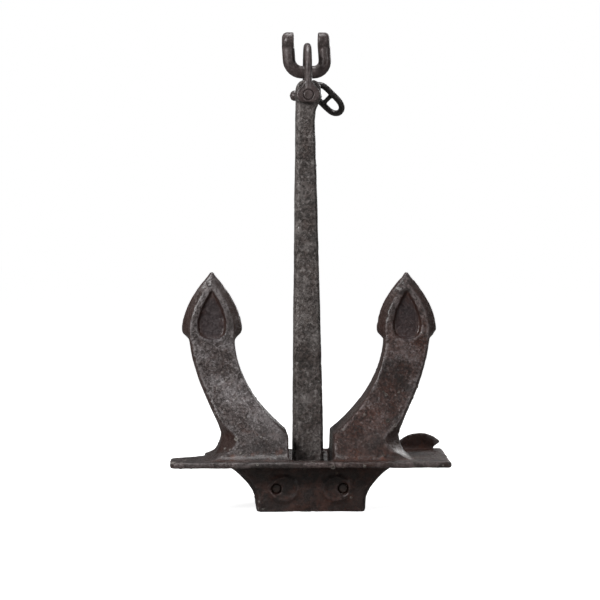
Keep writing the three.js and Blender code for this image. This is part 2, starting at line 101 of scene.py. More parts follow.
@dataclass(frozen=True)
class RustFinish:
    """Colours and grain of one rusted, waxed iron surface.

    Colours are linear RGB and sizes are in metres. The shares say how much of a colour shows: warm_share on
    the left and on the right, low_share of the painted shade under the palm, flank_share of the painted shade
    on faces that look sideways. arm_share is how much of the sheen, partly grey crust and partly a painted
    glint on the arms, is lost away from the arms. recess is the colour of the painted shade in the fluke
    recesses.
    """

    deep: Colour
    body: Colour
    warm: Colour
    sheen: Colour
    orange: Colour
    recess: Colour | None = None
    warm_share: tuple[float, float] = (0.3, 0.3)
    sheen_share: float = 0.5
    orange_share: float = 0.7
    low_share: float = 0.0
    flank_share: float = 0.0
    arm_share: float = 0.0
    pores: float = 0.85
    patch: float = 0.16
    grain: float = 0.012
    relief: float = 0.0030
    roughness: tuple[float, float] = (0.30, 0.62)
    metallic: float = 0.15
    coat: float = 0.25
    coat_roughness: float = 0.22


FINISHES: dict[Iron, RustFinish] = {
    Iron.HEAD: RustFinish(
        deep=(0.010, 0.0035, 0.002), body=(0.060, 0.048, 0.046), warm=(0.052, 0.014, 0.006),
        sheen=(0.310, 0.286, 0.290), orange=(0.150, 0.036, 0.008), recess=(0.026, 0.015, 0.017),
        warm_share=(0.15, 1.0), low_share=0.75, flank_share=0.8, arm_share=0.75, grain=0.010),
    Iron.SHANK: RustFinish(
        deep=(0.012, 0.008, 0.006), body=(0.060, 0.049, 0.045), warm=(0.050, 0.025, 0.018),
        sheen=(0.240, 0.220, 0.212), orange=(0.130, 0.046, 0.016), orange_share=0.5, patch=0.10),
    Iron.PIN: RustFinish(
        deep=(0.007, 0.004, 0.003), body=(0.030, 0.014, 0.009), warm=(0.040, 0.016, 0.010),
        sheen=(0.060, 0.040, 0.032), orange=(0.110, 0.036, 0.012), orange_share=1.0, relief=0.0010),
    Iron.SHACKLE: RustFinish(
        deep=(0.012, 0.007, 0.006), body=(0.038, 0.025, 0.023), warm=(0.032, 0.015, 0.012),
        sheen=(0.130, 0.104, 0.102), orange=(0.070, 0.026, 0.012), orange_share=0.3, pores=0.35,
        patch=0.05, grain=0.007, relief=0.0007, roughness=(0.28, 0.50)),
    Iron.LINK: RustFinish(
        deep=(0.006, 0.004, 0.004), body=(0.022, 0.016, 0.015), warm=(0.020, 0.012, 0.010),
        sheen=(0.075, 0.064, 0.062), orange=(0.060, 0.028, 0.014), orange_share=0.4, pores=0.5,
        patch=0.04, grain=0.006, relief=0.0009),
    Iron.CRUST: RustFinish(
        deep=(0.022, 0.017, 0.014), body=(0.130, 0.115, 0.105), warm=(0.075, 0.052, 0.040),
        sheen=(0.270, 0.250, 0.235), orange=(0.110, 0.050, 0.022), warm_share=(0.2, 0.8),
        low_share=0.35, pores=0.4, patch=0.06, grain=0.006, relief=0.0006, roughness=(0.70, 0.90),
        metallic=0.0, coat=0.0),
}


class TreeBuilder:
    """Short calls for adding and wiring the nodes of one node tree."""

    def __init__(self, tree: bpy.types.NodeTree) -> None:
        """Works on a tree.

        Args:
            tree: the shader or geometry tree to fill.
        """
        self.tree = tree

    def add(self, kind: str, inputs: dict[str | int, object] | None = None,
            **settings: object) -> bpy.types.Node:
        """Adds a node.

        Args:
            kind: the node's type name.
            inputs: what goes into it, by the name or the number of the input.
            **settings: its properties.

        Returns:
            The new node.
        """
        node = self.tree.nodes.new(kind)
        for name, value in settings.items():
            setattr(node, name, value)
        for key, value in (inputs or {}).items():
            self.feed(node.inputs[key], value)
        return node

    def feed(self, target: bpy.types.NodeSocket, value: object) -> None:
        """Wires or sets a socket.

        Args:
            target: the input socket.
            value: another node's output socket, or a constant.
        """
        if isinstance(value, bpy.types.NodeSocket):
            self.tree.links.new(value, target)
        else:
            target.default_value = value

    def math(self, operation: str, first: object, second: object = 0.0,
             clamp: bool = False) -> bpy.types.NodeSocket:
        """Adds a Math node.

        Args:
            operation: what it does.
            first: its first value, a socket or a number.
            second: its second value.
            clamp: whether the result stays between 0 and 1.

        Returns:
            Its output.
        """
        node = self.add("ShaderNodeMath", {0: first, 1: second}, operation=operation, use_clamp=clamp)
        return node.outputs[0]

    def plus(self, first: object, second: object) -> bpy.types.NodeSocket:
        """Returns the sum of two values."""
        return self.math("ADD", first, second)

    def minus(self, first: object, second: object) -> bpy.types.NodeSocket:
        """Returns the first value less the second."""
        return self.math("SUBTRACT", first, second)

    def times(self, first: object, second: object, clamp: bool = False) -> bpy.types.NodeSocket:
        """Returns the product of two values, kept between 0 and 1 if clamp is set."""
        return self.math("MULTIPLY", first, second, clamp)

    def ratio(self, first: object, second: object) -> bpy.types.NodeSocket:
        """Returns the first value divided by the second."""
        return self.math("DIVIDE", first, second)

    def ramp(self, value: object, low: float, high: float, start: float = 0.0,
             end: float = 1.0) -> bpy.types.NodeSocket:
        """Adds a smooth Map Range node.

        Args:
            value: the value to map.
            low: where the change starts.
            high: where it ends, which may lie under low.
            start: the result on low's side.
            end: the result on high's side.

        Returns:
            Its output.
        """
        inputs = dict(enumerate((value, low, high, start, end)))
        return self.add("ShaderNodeMapRange", inputs, interpolation_type="SMOOTHSTEP").outputs[0]

    def noise(self, place: object, scale: object, detail: float, rough: float,
              seed: object) -> bpy.types.NodeSocket:
        """Adds a 4D noise.

        Args:
            place: the position.
            scale: bumps in one metre.
            detail: how many octaves.
            rough: how strong the fine octaves are.
            seed: the fourth coordinate.

        Returns:
            Its value output.
        """
        inputs = {"Vector": place, "Scale": scale, "Detail": detail, "Roughness": rough, "W": seed}
        return self.add("ShaderNodeTexNoise", inputs, noise_dimensions="4D").outputs[0]

    def cells(self, place: object, scale: object) -> bpy.types.NodeSocket:
        """Adds a Voronoi texture.

        Args:
            place: the position.
            scale: cells in one metre.

        Returns:
            The distance to the nearest cell's point.
        """
        return self.add("ShaderNodeTexVoronoi", {"Vector": place, "Scale": scale}).outputs["Distance"]

    def blend(self, share: object, first: object, second: object) -> bpy.types.NodeSocket:
        """Mixes two colours.

        Args:
            share: how much of the second colour shows.
            first: the first colour, a socket or RGB.
            second: the second colour.

        Returns:
            The mixed colour.
        """
        first, second = ((*tint, 1.0) if isinstance(tint, tuple) else tint for tint in (first, second))
        return self.add("ShaderNodeMix", {0: share, 6: first, 7: second}, data_type="RGBA").outputs[2]

    def axes(self, vector: object) -> tuple[bpy.types.NodeSocket, ...]:
        """Returns the X, Y and Z of a vector."""
        return tuple(self.add("ShaderNodeSeparateXYZ", {0: vector}).outputs)


@dataclass(frozen=True)
class FlukeRecess:
    """The teardrop recess in each fluke's face, as the oval that it fills, which gets painted shade. Sizes in
    metres.
    """

    from_middle: float = 0.340
    height: float = 0.659
    half_width: float = 0.050
    half_height: float = 0.087

    def mask(self, tree: TreeBuilder, across: object, upward: object) -> bpy.types.NodeSocket:
        """Finds the recesses of both flukes.

        Args:
            tree: the shader's tree.
            across: the place along X.
            upward: the place along Z.

        Returns:
            A share that is high inside the recesses.
        """
        from_middle = tree.math("ABSOLUTE", tree.minus(across, HEAD_X))
        aside = tree.ratio(tree.minus(from_middle, self.from_middle), self.half_width)
        above = tree.ratio(tree.minus(upward, self.height), self.half_height)
        reach = tree.plus(tree.times(aside, aside), tree.times(above, above))
        return tree.ramp(reach, 1.0, 0.55, 0.0, 0.75)


class RustShader:
    """The procedural iron of one finish, built as one material.

    Large patches run from near black to the body colour, which turns chocolate towards the right. A worn
    grey sheen with fine specks lies on what stands proud, and orange rust gathers in hollows. On the arms the
    grey is partly a painted glint. Painted shade darkens the fluke recesses, the flanks and what lies low
    under the palm. Grain and pores give the bump and the roughness.
    """

    def __init__(self, iron: Iron, finish: RustFinish) -> None:
        """Starts the material with the noises that its colours and its bump share.

        Args:
            iron: the iron, which names the material.
            finish: its colours and sizes.
        """
        self.finish = finish
        self.material = bpy.data.materials.new(iron.value)
        self.material.use_nodes = True
        self.shader = self.material.node_tree.nodes["Principled BSDF"]
        self.tree = tree = TreeBuilder(self.material.node_tree)
        self.place = place = tree.add("ShaderNodeTexCoord").outputs["Object"]
        self.across, _, self.upward = tree.axes(place)
        self.hollow, self.pit = (tree.add("ShaderNodeAttribute", attribute_name=name).outputs["Fac"]
                                 for name in ("hollow", "pit"))
        self.patches = tree.noise(place, 1 / finish.patch, detail=7.0, rough=0.62, seed=1.7)
        self.blotch = tree.noise(place, 1.6 / finish.patch, detail=9.0, rough=0.66, seed=21.3)
        self.mottle = tree.noise(place, 0.22 / finish.grain, detail=8.0, rough=0.70, seed=4.2)
        self.grain = tree.noise(place, 1 / finish.grain, detail=9.0, rough=0.72, seed=8.9)
        pores = tree.noise(place, 1.3 / finish.grain, detail=5.0, rough=0.80, seed=5.5)
        self.eaten = tree.times(tree.ramp(pores, 0.49, 0.44), tree.ramp(self.blotch, 0.62, 0.40, 0.55, 1.0))

    def build(self) -> bpy.types.Material:
        """Wires the colour, the roughness and the bump.

        Returns:
            The material.
        """
        finish, inputs = self.finish, self.shader.inputs
        side = self.tree.ramp(self.across, *LEFT_TO_RIGHT_X, *finish.warm_share)
        colour = self._zones(self._decay(self._sheen(self._ground(side), side)))
        self.tree.feed(inputs["Base Color"], colour)
        self.tree.feed(inputs["Roughness"], self._roughness())
        self.tree.feed(inputs["Normal"], self._relief())
        inputs["Metallic"].default_value = finish.metallic
        inputs["Coat Weight"].default_value = finish.coat
        inputs["Coat Roughness"].default_value = finish.coat_roughness
        return self.material

    def _ground(self, side: bpy.types.NodeSocket) -> bpy.types.NodeSocket:
        """Lays the patches of the dark and the body colour.

        Args:
            side: how much of the warm colour shows here.

        Returns:
            The colour.
        """
        tree, finish = self.tree, self.finish
        base = tree.blend(side, finish.body, finish.warm)
        ground = tree.blend(tree.ramp(self.patches, 0.36, 0.58), finish.deep, base)
        return tree.blend(tree.ramp(self.mottle, 0.42, 0.62, 0.0, 0.8), ground, base)

    def _sheen(self, colour: bpy.types.NodeSocket, side: bpy.types.NodeSocket) -> bpy.types.NodeSocket:
        """Wears the colour grey in clouds, in fine specks and on edges, less on the warm side and most on the
        arms, where the grey is partly a painted glint.

        Args:
            colour: the colour so far.
            side: how much of the warm colour shows here.

        Returns:
            The colour.
        """
        tree, finish = self.tree, self.finish
        # The grey is strongest on the arms, partly grey crust and partly a painted glint.
        below_arm, above_arm = tree.ramp(self.upward, *ARM_BELOW_Z), tree.ramp(self.upward, *ARM_ABOVE_Z)
        off_arm = tree.math("MAXIMUM", below_arm, above_arm)
        crust_and_glint = tree.times(tree.minus(1.05, tree.times(side, 0.55)),
                            tree.minus(1.0, tree.times(off_arm, finish.arm_share)))
        clouds = tree.times(tree.ramp(self.mottle, 0.40, 0.60, 0.35, 1.0), tree.ramp(self.blotch, 0.40, 0.58))
        clouds = tree.times(clouds, tree.times(crust_and_glint, finish.sheen_share), clamp=True)
        specks = tree.times(tree.ramp(self.grain, 0.52, 0.60), tree.ramp(self.blotch, 0.34, 0.60, 0.20, 0.9))
        edges = tree.ramp(self.hollow, -0.12, -0.65, 0.0, 0.35)
        edges = tree.times(edges, tree.ramp(self.mottle, 0.40, 0.58))
        for share in (clouds, tree.times(specks, crust_and_glint, clamp=True), edges):
            colour = tree.blend(share, colour, finish.sheen)
        return colour

    def _decay(self, colour: bpy.types.NodeSocket) -> bpy.types.NodeSocket:
        """Eats dark pores into the colour and lets rust gather in the hollows and the pits.

        Args:
            colour: the colour so far.

        Returns:
            The colour.
        """
        tree, finish = self.tree, self.finish
        colour = tree.blend(tree.times(self.eaten, finish.pores, clamp=True), colour, finish.deep)
        blooms = tree.noise(self.place, 0.35 / finish.grain, detail=8.0, rough=0.68, seed=12.4)
        rust = tree.times(tree.ramp(blooms, 0.50, 0.66), tree.ramp(self.hollow, -0.10, 0.45, 0.06, 1.0))
        colour = tree.blend(tree.times(rust, finish.orange_share, clamp=True), colour, finish.orange)
        colour = tree.blend(tree.ramp(self.hollow, 0.10, 0.60, 0.0, 0.45), colour, finish.warm)
        return tree.blend(tree.ramp(self.pit, 0.25, 0.9, 0.0, 0.65), colour, finish.deep)

    def _zones(self, colour: bpy.types.NodeSocket) -> bpy.types.NodeSocket:
        """Paints shade into the fluke recesses, onto the flanks and under the palm.

        Args:
            colour: the colour so far.

        Returns:
            The colour.
        """
        tree, finish = self.tree, self.finish
        # Painted shade in the fluke recesses.
        if finish.recess:
            colour = tree.blend(FlukeRecess().mask(tree, self.across, self.upward), colour, finish.recess)
        # Painted shade on faces that look sideways.
        sideways = tree.axes(tree.add("ShaderNodeNewGeometry").outputs["Normal"])[0]
        flank = tree.ramp(tree.math("ABSOLUTE", sideways), 0.25, 0.70, 0.0, finish.flank_share)
        shade = tuple(0.5 * (deep + warm) for deep, warm in zip(finish.deep, finish.warm))
        colour = tree.blend(flank, colour, shade)
        # Painted shade under the palm: the crown darkens towards the bottom to deep and warm browns.
        low = tree.ramp(self.upward, *UNDER_PALM_Z, 0.0, finish.low_share)
        palm_shade = tree.blend(tree.ramp(self.mottle, 0.44, 0.62), finish.deep, finish.warm)
        return tree.blend(low, colour, palm_shade)

    def _roughness(self) -> bpy.types.NodeSocket:
        """Spreads the roughness, which is least where the grain and the patches are both strong.

        Returns:
            The roughness.
        """
        smooth, coarse = self.finish.roughness
        strength = self.tree.plus(self.grain, self.tree.times(self.patches, 0.6))
        return self.tree.ramp(strength, 0.60, 1.00, coarse, smooth)

    def _relief(self) -> bpy.types.NodeSocket:
        """Raises the grain and the mottle and dents the specks and the pores.

        Returns:
            The bumped normal.
        """
        tree, finish = self.tree, self.finish
        specks = tree.cells(self.place, 2.6 / finish.grain)
        height = tree.plus(tree.times(self.grain, 1.2), tree.times(self.mottle, 1.6))
        height = tree.minus(height, tree.ramp(specks, 0.30, 0.05, 0.0, 0.35))
        height = tree.minus(height, tree.times(self.eaten, 0.5))
        bump = tree.add("ShaderNodeBump", {"Strength": 1.0, "Distance": finish.relief, "Height": height})
        return bump.outputs["Normal"]


def open_tree(name: str, **inputs: Socket) -> tuple[TreeBuilder, bpy.types.NodeOutputs]:
    """Starts a tree that takes one geometry and gives one back.

    Args:
        name: the tree's name.
        **inputs: its further inputs with their kinds, named with _ for a space.

    Returns:
        The tree's builder and the sockets of its inputs.
    """
    group = bpy.data.node_groups.new(name, "GeometryNodeTree")
    for way in ("INPUT", "OUTPUT"):
        group.interface.new_socket("Geometry", in_out=way, socket_type=Socket.GEOMETRY.value)
    for label, kind in inputs.items():
        group.interface.new_socket(label.replace("_", " "), in_out="INPUT", socket_type=kind.value)
    tree = TreeBuilder(group)
    return tree, tree.add("NodeGroupInput").outputs


def close_tree(tree: TreeBuilder, shape: object, material: object) -> bpy.types.GeometryNodeTree:
    """Ends a tree: its shape gets its material and goes out.

    Args:
        tree: the tree's builder.
        shape: the finished geometry.
        material: the material.

    Returns:
        The node group.
    """
    dress = tree.add("GeometryNodeSetMaterial", {"Geometry": shape, "Material": material})
    tree.add("NodeGroupOutput", {0: dress.outputs[0]})
    return tree.tree


def weathering_tree() -> bpy.types.GeometryNodeTree:
    """Builds the tree that weathers a surface.

    It pushes the surface in and out by slow swells and small lumps, eats pits into it, and stores how
    hollow and how pitted each point is for the finish.

    Returns:
        The node group.
    """
    tree, source = open_tree(
        "weathered_surface", swell=Socket.NUMBER, swell_size=Socket.NUMBER, lump=Socket.NUMBER,
        lump_size=Socket.NUMBER, pit_depth=Socket.NUMBER, pit_size=Socket.NUMBER, seed=Socket.NUMBER,
        iron=Socket.MATERIAL)
    place = tree.add("GeometryNodeInputPosition").outputs[0]
    normal = tree.add("GeometryNodeInputNormal").outputs[0]

    blurred = tree.add("GeometryNodeBlurAttribute", {"Value": place, "Iterations": HOLLOW_BLUR},
                       data_type="FLOAT_VECTOR")
    inward = tree.add("ShaderNodeVectorMath", {0: blurred.outputs[0], 1: place}, operation="SUBTRACT")
    bend = tree.add("ShaderNodeVectorMath", {0: inward.outputs[0], 1: normal}, operation="DOT_PRODUCT")
    hollow = tree.times(bend.outputs["Value"], HOLLOW_GAIN)

    seed, pit_size = source["seed"], source["pit size"]
    swell = tree.noise(place, tree.ratio(1.0, source["swell size"]), 2.0, 0.5, seed)
    lump = tree.noise(place, tree.ratio(1.0, source["lump size"]), 5.0, 0.6, tree.plus(seed, 3.0))
    pock = tree.cells(place, tree.ratio(1.0, pit_size))
    where = tree.noise(place, tree.ratio(0.25, pit_size), 3.0, 0.6, tree.plus(seed, 7.0))
    pit = tree.times(tree.ramp(pock, 0.55, 0.12), tree.ramp(where, 0.44, 0.62))

    height = tree.times(tree.minus(swell, 0.5), source["swell"])
    height = tree.plus(height, tree.times(tree.minus(lump, 0.5), source["lump"]))
    height = tree.minus(height, tree.times(pit, source["pit depth"]))
    push = tree.add("ShaderNodeVectorMath", {0: normal, "Scale": height}, operation="SCALE")

    shape = source["Geometry"]
    for name, value in (("hollow", hollow), ("pit", pit)):
        shape = tree.add("GeometryNodeStoreNamedAttribute", {"Geometry": shape, "Name": name, "Value": value},
                         domain="POINT", data_type="FLOAT").outputs[0]
    shape = tree.add("GeometryNodeSetPosition", {"Geometry": shape, "Offset": push.outputs[0]}).outputs[0]
    return close_tree(tree, shape, source["iron"])


def growth_tree() -> bpy.types.GeometryNodeTree:
    """Builds the tree that scatters marks over a surface, in patches and between two heights.

    The marks stay off the slot that the shank tilts in. The crown's front face, which lies clear of it,
    keeps its marks.

    Returns:
        The node group.
    """
    tree, source = open_tree(
        "scattered_growth", mark=Socket.OBJECT, density=Socket.NUMBER, smallest=Socket.NUMBER,
        largest=Socket.NUMBER, above=Socket.NUMBER, below=Socket.NUMBER, patch=Socket.NUMBER,
        aside=Socket.NUMBER, seed=Socket.COUNT, crust=Socket.MATERIAL)
    place = tree.add("GeometryNodeInputPosition").outputs[0]
    across, depth, upward = tree.axes(place)

    patchy = tree.noise(place, tree.ratio(1.0, source["patch"]), 4.0, 0.6, 31.0)
    share = tree.ramp(patchy, 0.48, 0.62, 0.05, 1.0)
    share = tree.times(share, tree.ramp(tree.minus(upward, source["below"]), 0.22, -0.06))
    share = tree.times(share, tree.ramp(tree.minus(upward, source["above"]), 0.0, 0.05))
    beside = tree.minus(tree.math("ABSOLUTE", tree.minus(across, SHANK_X)), source["aside"])
    crown_face = tree.times(tree.ramp(depth, *CROWN_FACE_Y), tree.ramp(upward, *CROWN_FACE_Z))
    share = tree.times(share, tree.math("MAXIMUM", tree.ramp(beside, 0.0, 0.01), crown_face))

    points = tree.add("GeometryNodeDistributePointsOnFaces", {
        "Mesh": source["Geometry"], "Density": tree.times(share, source["density"]), "Seed": source["seed"]})
    mark = tree.add("GeometryNodeObjectInfo", {"Object": source["mark"]})
    size = tree.add("FunctionNodeRandomValue", {
        2: source["smallest"], 3: source["largest"], "Seed": source["seed"]}, data_type="FLOAT")
    marks = tree.add("GeometryNodeInstanceOnPoints", {
        "Points": points.outputs["Points"], "Instance": mark.outputs["Geometry"],
        "Rotation": points.outputs["Rotation"], "Scale": size.outputs[1]})
    angle = tree.add("FunctionNodeRandomValue", {3: 2 * math.pi}, data_type="FLOAT")
    turn = tree.add("ShaderNodeCombineXYZ", {"Z": angle.outputs[1]})
    turned = tree.add("GeometryNodeRotateInstances", {
        "Instances": marks.outputs[0], "Rotation": turn.outputs[0]})
    real = tree.add("GeometryNodeRealizeInstances", {"Geometry": turned.outputs[0]})
    return close_tree(tree, real.outputs[0], source["crust"])


def set_inputs(modifier: bpy.types.NodesModifier, **values: object) -> None:
    """Sets a modifier's named inputs by their sockets' identifiers.

    Args:
        modifier: the modifier that holds the tree.
        **values: the values, named as the sockets with _ for a space.
    """
    sockets = {item.name.replace(" ", "_"): item.identifier
               for item in modifier.node_group.interface.items_tree
               if item.item_type == "SOCKET" and item.in_out == "INPUT"}
    for name, value in values.items():
        modifier[sockets[name]] = value


def settle(rough: bpy.types.Object, name: str, material: bpy.types.Material) -> bpy.types.Object:
    """Turns an object with live modifiers into a plain, smooth mesh of one material.

    Args:
        rough: the object with modifiers, which is removed.
        name: the name of the plain one.
        material: its material.

    Returns:
        The plain object.
    """
    bpy.context.view_layer.update()
    graph = bpy.context.evaluated_depsgraph_get()
    mesh = bpy.data.meshes.new_from_object(rough.evaluated_get(graph), depsgraph=graph)
    bpy.data.objects.remove(rough)
    mesh.name = name
    mesh.materials.clear()
    mesh.materials.append(material)
    mesh.polygons.foreach_set("material_index", [0] * len(mesh.polygons))
    mesh.polygons.foreach_set("use_smooth", [True] * len(mesh.polygons))
    mesh.update()
    piece = bpy.data.objects.new(name, mesh)
    bpy.context.collection.objects.link(piece)
    return piece


def as_object(shape: bmesh.types.BMesh, name: str) -> bpy.types.Object:
    """Makes an object of a built shape.

    Args:
        shape: the shape, which is freed.
        name: the object's name.

    Returns:
        The object, which is in no collection.
    """
    mesh = bpy.data.meshes.new(name)
    shape.to_mesh(mesh)
    shape.free()
    mesh.polygons.foreach_set("use_smooth", [True] * len(mesh.polygons))
    return bpy.data.objects.new(name, mesh)


def scar_shape() -> bpy.types.Object:
    """Builds the ring that a barnacle leaves on iron, a low wall of worn plates one metre in radius.

    Returns:
        The ring, in no collection.
    """
    rings = ((1.0, -0.25), (0.97, 0.06), (0.80, 0.30), (0.64, 0.34), (0.52, 0.20), (0.46, 0.0))
    around = 18
    shape = bmesh.new()
    rows = []
    for radius, height in rings:
        row = []
        for step in range(around):
            angle = 2 * math.pi * step / around
            plate = 1 + 0.09 * math.cos(6 * angle) + 0.05 * math.sin(2 * angle + 1)
            worn = 1 - 0.35 * max(0.0, math.sin(3 * angle))
            at = (radius * plate * math.cos(angle), radius * plate * math.sin(angle), height * worn)
            row.append(shape.verts.new(at))
        rows.append(row)
    for outer, inner in zip(rows, rows[1:]):
        for step in range(around):
            after = (step + 1) % around
            shape.faces.new((outer[step], outer[after], inner[after], inner[step]))
    shape.faces.new(rows[-1])
    return as_object(shape, Mark.SCAR.value)


def nodule_shape() -> bpy.types.Object:
    """Builds a flat lump of rust crust, one metre in radius.

    Returns:
        The lump, in no collection.
    """
    flatness, bumps, bump_share = 0.34, 1.7, 0.5
    shape = bmesh.new()
    bmesh.ops.create_icosphere(shape, subdivisions=2, radius=1.0)
    for vert in shape.verts:
        swell = 1 + bump_share * noise.noise(vert.co * bumps)
        vert.co = Vector((vert.co.x * swell, vert.co.y * swell, vert.co.z * flatness * swell))
    return as_object(shape, Mark.NODULE.value)


@dataclass
class Yard:
    """What every piece is made with: the two trees, the irons and the shapes of what grows on them."""

    weathering: bpy.types.GeometryNodeTree
    growth: bpy.types.GeometryNodeTree
    irons: dict[Iron, bpy.types.Material]
    marks: dict[Mark, bpy.types.Object]

    @classmethod
    def open(cls) -> "Yard":
        """Builds the trees, the materials and the marks.

        Returns:
            The yard, ready for work.
        """
        irons = {iron: RustShader(iron, finish).build() for iron, finish in FINISHES.items()}
        marks = {Mark.NODULE: nodule_shape(), Mark.SCAR: scar_shape()}
        return cls(weathering_tree(), growth_tree(), irons, marks)

    def close(self) -> None:
        """Clears the marks away once every piece has its own."""
        for mark in self.marks.values():
            bpy.data.objects.remove(mark)


@dataclass(frozen=True)
class Forging:
    """One casting or forging, carried over from its plain solid and weathered. Sizes in metres."""

    node: str
    iron: Iron
    cell: float
    seed: float
    rounding: int = 6
    swell: float = 0.0016
    swell_size: float = 0.12
    lump: float = 0.0012
    lump_size: float = 0.018
    pit_depth: float = 0.0012
    pit_size: float = 0.014

    def build(self, yard: Yard, body: str) -> bpy.types.Object:
        """Builds the weathered piece and puts it in its node's place.

        Args:
            yard: what it is made with.
            body: the body that it moves with.

        Returns:
            The finished piece.
        """
        iron = yard.irons[self.iron]
        rough = self._copy()
        remesh = rough.modifiers.new("cast_skin", "REMESH")
        remesh.mode = "VOXEL"
        remesh.voxel_size = self.cell * 1.0
        remesh.use_smooth_shade = True
        relax = rough.modifiers.new("rounded_edges", "SMOOTH")
        relax.iterations = self.rounding
        relax.factor = 0.5
        wear = rough.modifiers.new("weathering", "NODES")
        wear.node_group = yard.weathering
        set_inputs(wear, swell=self.swell, swell_size=self.swell_size, lump=self.lump,
                   lump_size=self.lump_size, pit_depth=self.pit_depth, pit_size=self.pit_size,
                   seed=self.seed, iron=iron)
        piece = settle(rough, f"{self.node}_iron", iron)
        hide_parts(self.node)
        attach(piece, body)
        return piece

    def _copy(self) -> bpy.types.Object:
        """Copies the node's mesh and merges its loose triangles.

        Returns:
            The copy, as a new object.
        """
        shape = bmesh.new()
        shape.from_mesh(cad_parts[self.node].data)
        bmesh.ops.remove_doubles(shape, verts=shape.verts, dist=1e-6)
        rough = as_object(shape, f"{self.node}_rough")
        bpy.context.collection.objects.link(rough)
        return rough


@dataclass(frozen=True)
class Growth:
    """One kind of mark on one forging. Sizes in metres, density in marks on a square metre.

    The marks lie between the heights named above and below, and further than aside from the shank's axis.
    """

    name: str
    mark: Mark
    density: float
    smallest: float
    largest: float
    below: float
    patch: float
    seed: int
    above: float = -0.1
    aside: float = -0.1

    def build(self, yard: Yard, host: bpy.types.Object, body: str) -> bpy.types.Object:
        """Scatters the marks over a forging.

        Args:
            yard: what they are made with.
            host: the finished forging.
            body: the body that they move with.

        Returns:
            The marks, joined into one piece.
        """
        crust = yard.irons[Iron.CRUST]
        bed = bpy.data.objects.new(f"{self.name}_bed", host.data)
        bpy.context.collection.objects.link(bed)
        modifier = bed.modifiers.new("growth", "NODES")
        modifier.node_group = yard.growth
        density = self.density * 1.0
        set_inputs(modifier, mark=yard.marks[self.mark], density=density, smallest=self.smallest,
                   largest=self.largest, above=self.above, below=self.below, patch=self.patch,
                   aside=self.aside, seed=self.seed, crust=crust)
        piece = settle(bed, self.name, crust)
        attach(piece, body)
        return piece


@dataclass(frozen=True)
class Assembly:
    """Forgings that move as one body. What grows sits on the first of them."""

    body: str
    forgings: tuple[Forging, ...]
    growths: tuple[Growth, ...] = ()

    def build(self, yard: Yard) -> list[bpy.types.Object]:
        """Builds the forgings, then what grows on them.

        Args:
            yard: what they are made with.

        Returns:
            The finished pieces.
        """
        pieces = [forging.build(yard, self.body) for forging in self.forgings]
        return pieces + [growth.build(yard, pieces[0], self.body) for growth in self.growths]


@dataclass(frozen=True)
class FlukeHead(Assembly):
    """The cast head with its crown, palm and two arms, the crown pin and the two lock bolts."""

    body: str = "head"
    forgings: tuple[Forging, ...] = (
        Forging("fluke_head", Iron.HEAD, cell=0.0050, seed=2.0, rounding=5, swell=0.0050, swell_size=0.11,
                lump=0.0026, lump_size=0.024, pit_depth=0.0022, pit_size=0.022),
        Forging("crown_pin", Iron.PIN, cell=0.0035, seed=3.0, lump=0.0008),
        Forging("lock_bolt_left", Iron.PIN, cell=0.0028, seed=4.0, lump=0.0008, swell=0.0),
        Forging("lock_bolt_right", Iron.PIN, cell=0.0028, seed=5.0, lump=0.0008, swell=0.0),
    )
    growths: tuple[Growth, ...] = (
        Growth("head_crust", Mark.NODULE, density=900.0, smallest=0.0018, largest=0.0062, below=0.42,
               patch=0.10, seed=5, aside=0.088),
        Growth("head_scars", Mark.SCAR, density=110.0, smallest=0.0035, largest=0.0085, below=0.50,
               patch=0.14, seed=8, aside=0.088),
    )


@dataclass(frozen=True)
class Shank(Assembly):
    """The forged shank. Nothing grows on the part of it that tilts in the slot."""

    body: str = "shank"
    forgings: tuple[Forging, ...] = (
        Forging("shank", Iron.SHANK, cell=0.0036, seed=6.0, rounding=4, swell=0.0040, swell_size=0.10,
                lump=0.0022, lump_size=0.020, pit_depth=0.0020, pit_size=0.020),
    )
    growths: tuple[Growth, ...] = (
        Growth("shank_crust", Mark.NODULE, density=500.0, smallest=0.0014, largest=0.0045, below=1.30,
               patch=0.12, seed=6, above=0.44),
        Growth("shank_scars", Mark.SCAR, density=60.0, smallest=0.0030, largest=0.0065, below=0.95,
               patch=0.14, seed=9, above=0.44),
    )


@dataclass(frozen=True)
class AnchorShackle(Assembly):
    """The bow shackle on the shank's eye, with its pin, the pin's keeper and the link that rust holds."""

    body: str = "anchor_shackle"
    forgings: tuple[Forging, ...] = (
        Forging("anchor_shackle", Iron.SHACKLE, cell=0.0020, seed=7.0, lump=0.0006, pit_depth=0.0006),
        Forging("shackle_pin", Iron.SHACKLE, cell=0.0020, seed=8.0, lump=0.0008),
        Forging("pin_keeper", Iron.PIN, cell=0.0010, seed=9.0, rounding=2, swell=0.0, lump=0.0002,
                pit_depth=0.0),
        Forging("stud_link", Iron.LINK, cell=0.0016, seed=11.0, rounding=5, swell_size=0.05, lump=0.0014,
                lump_size=0.012, pit_depth=0.0008, pit_size=0.010),
        Forging("link_stud", Iron.LINK, cell=0.0014, seed=12.0, rounding=3, lump=0.0008),
    )


@dataclass(frozen=True)
class ChainShackle(Assembly):
    """The open shackle that hangs in the bow, whose bolt is gone."""

    body: str = "chain_shackle"
    forgings: tuple[Forging, ...] = (
        Forging("chain_shackle", Iron.SHACKLE, cell=0.0022, seed=10.0, lump=0.0007, pit_depth=0.0006),
    )


@dataclass(frozen=True)
class SoftLight:
    """A square area light: where it stands, its side in metres and its power in watts."""

    name: str
    at: tuple[float, float, float]
    side: float
    power: float

    def build(self, aim: Vector) -> None:
        """Adds the light.

        Args:
            aim: the place that it faces.
        """
        lamp = bpy.data.lights.new(self.name, "AREA")
        lamp.size = self.side
        lamp.energy = self.power
        light = bpy.data.objects.new(self.name, lamp)
        light.location = self.at
        light.rotation_euler = (aim - Vector(self.at)).to_track_quat("-Z", "Y").to_euler()
        bpy.context.collection.objects.link(light)


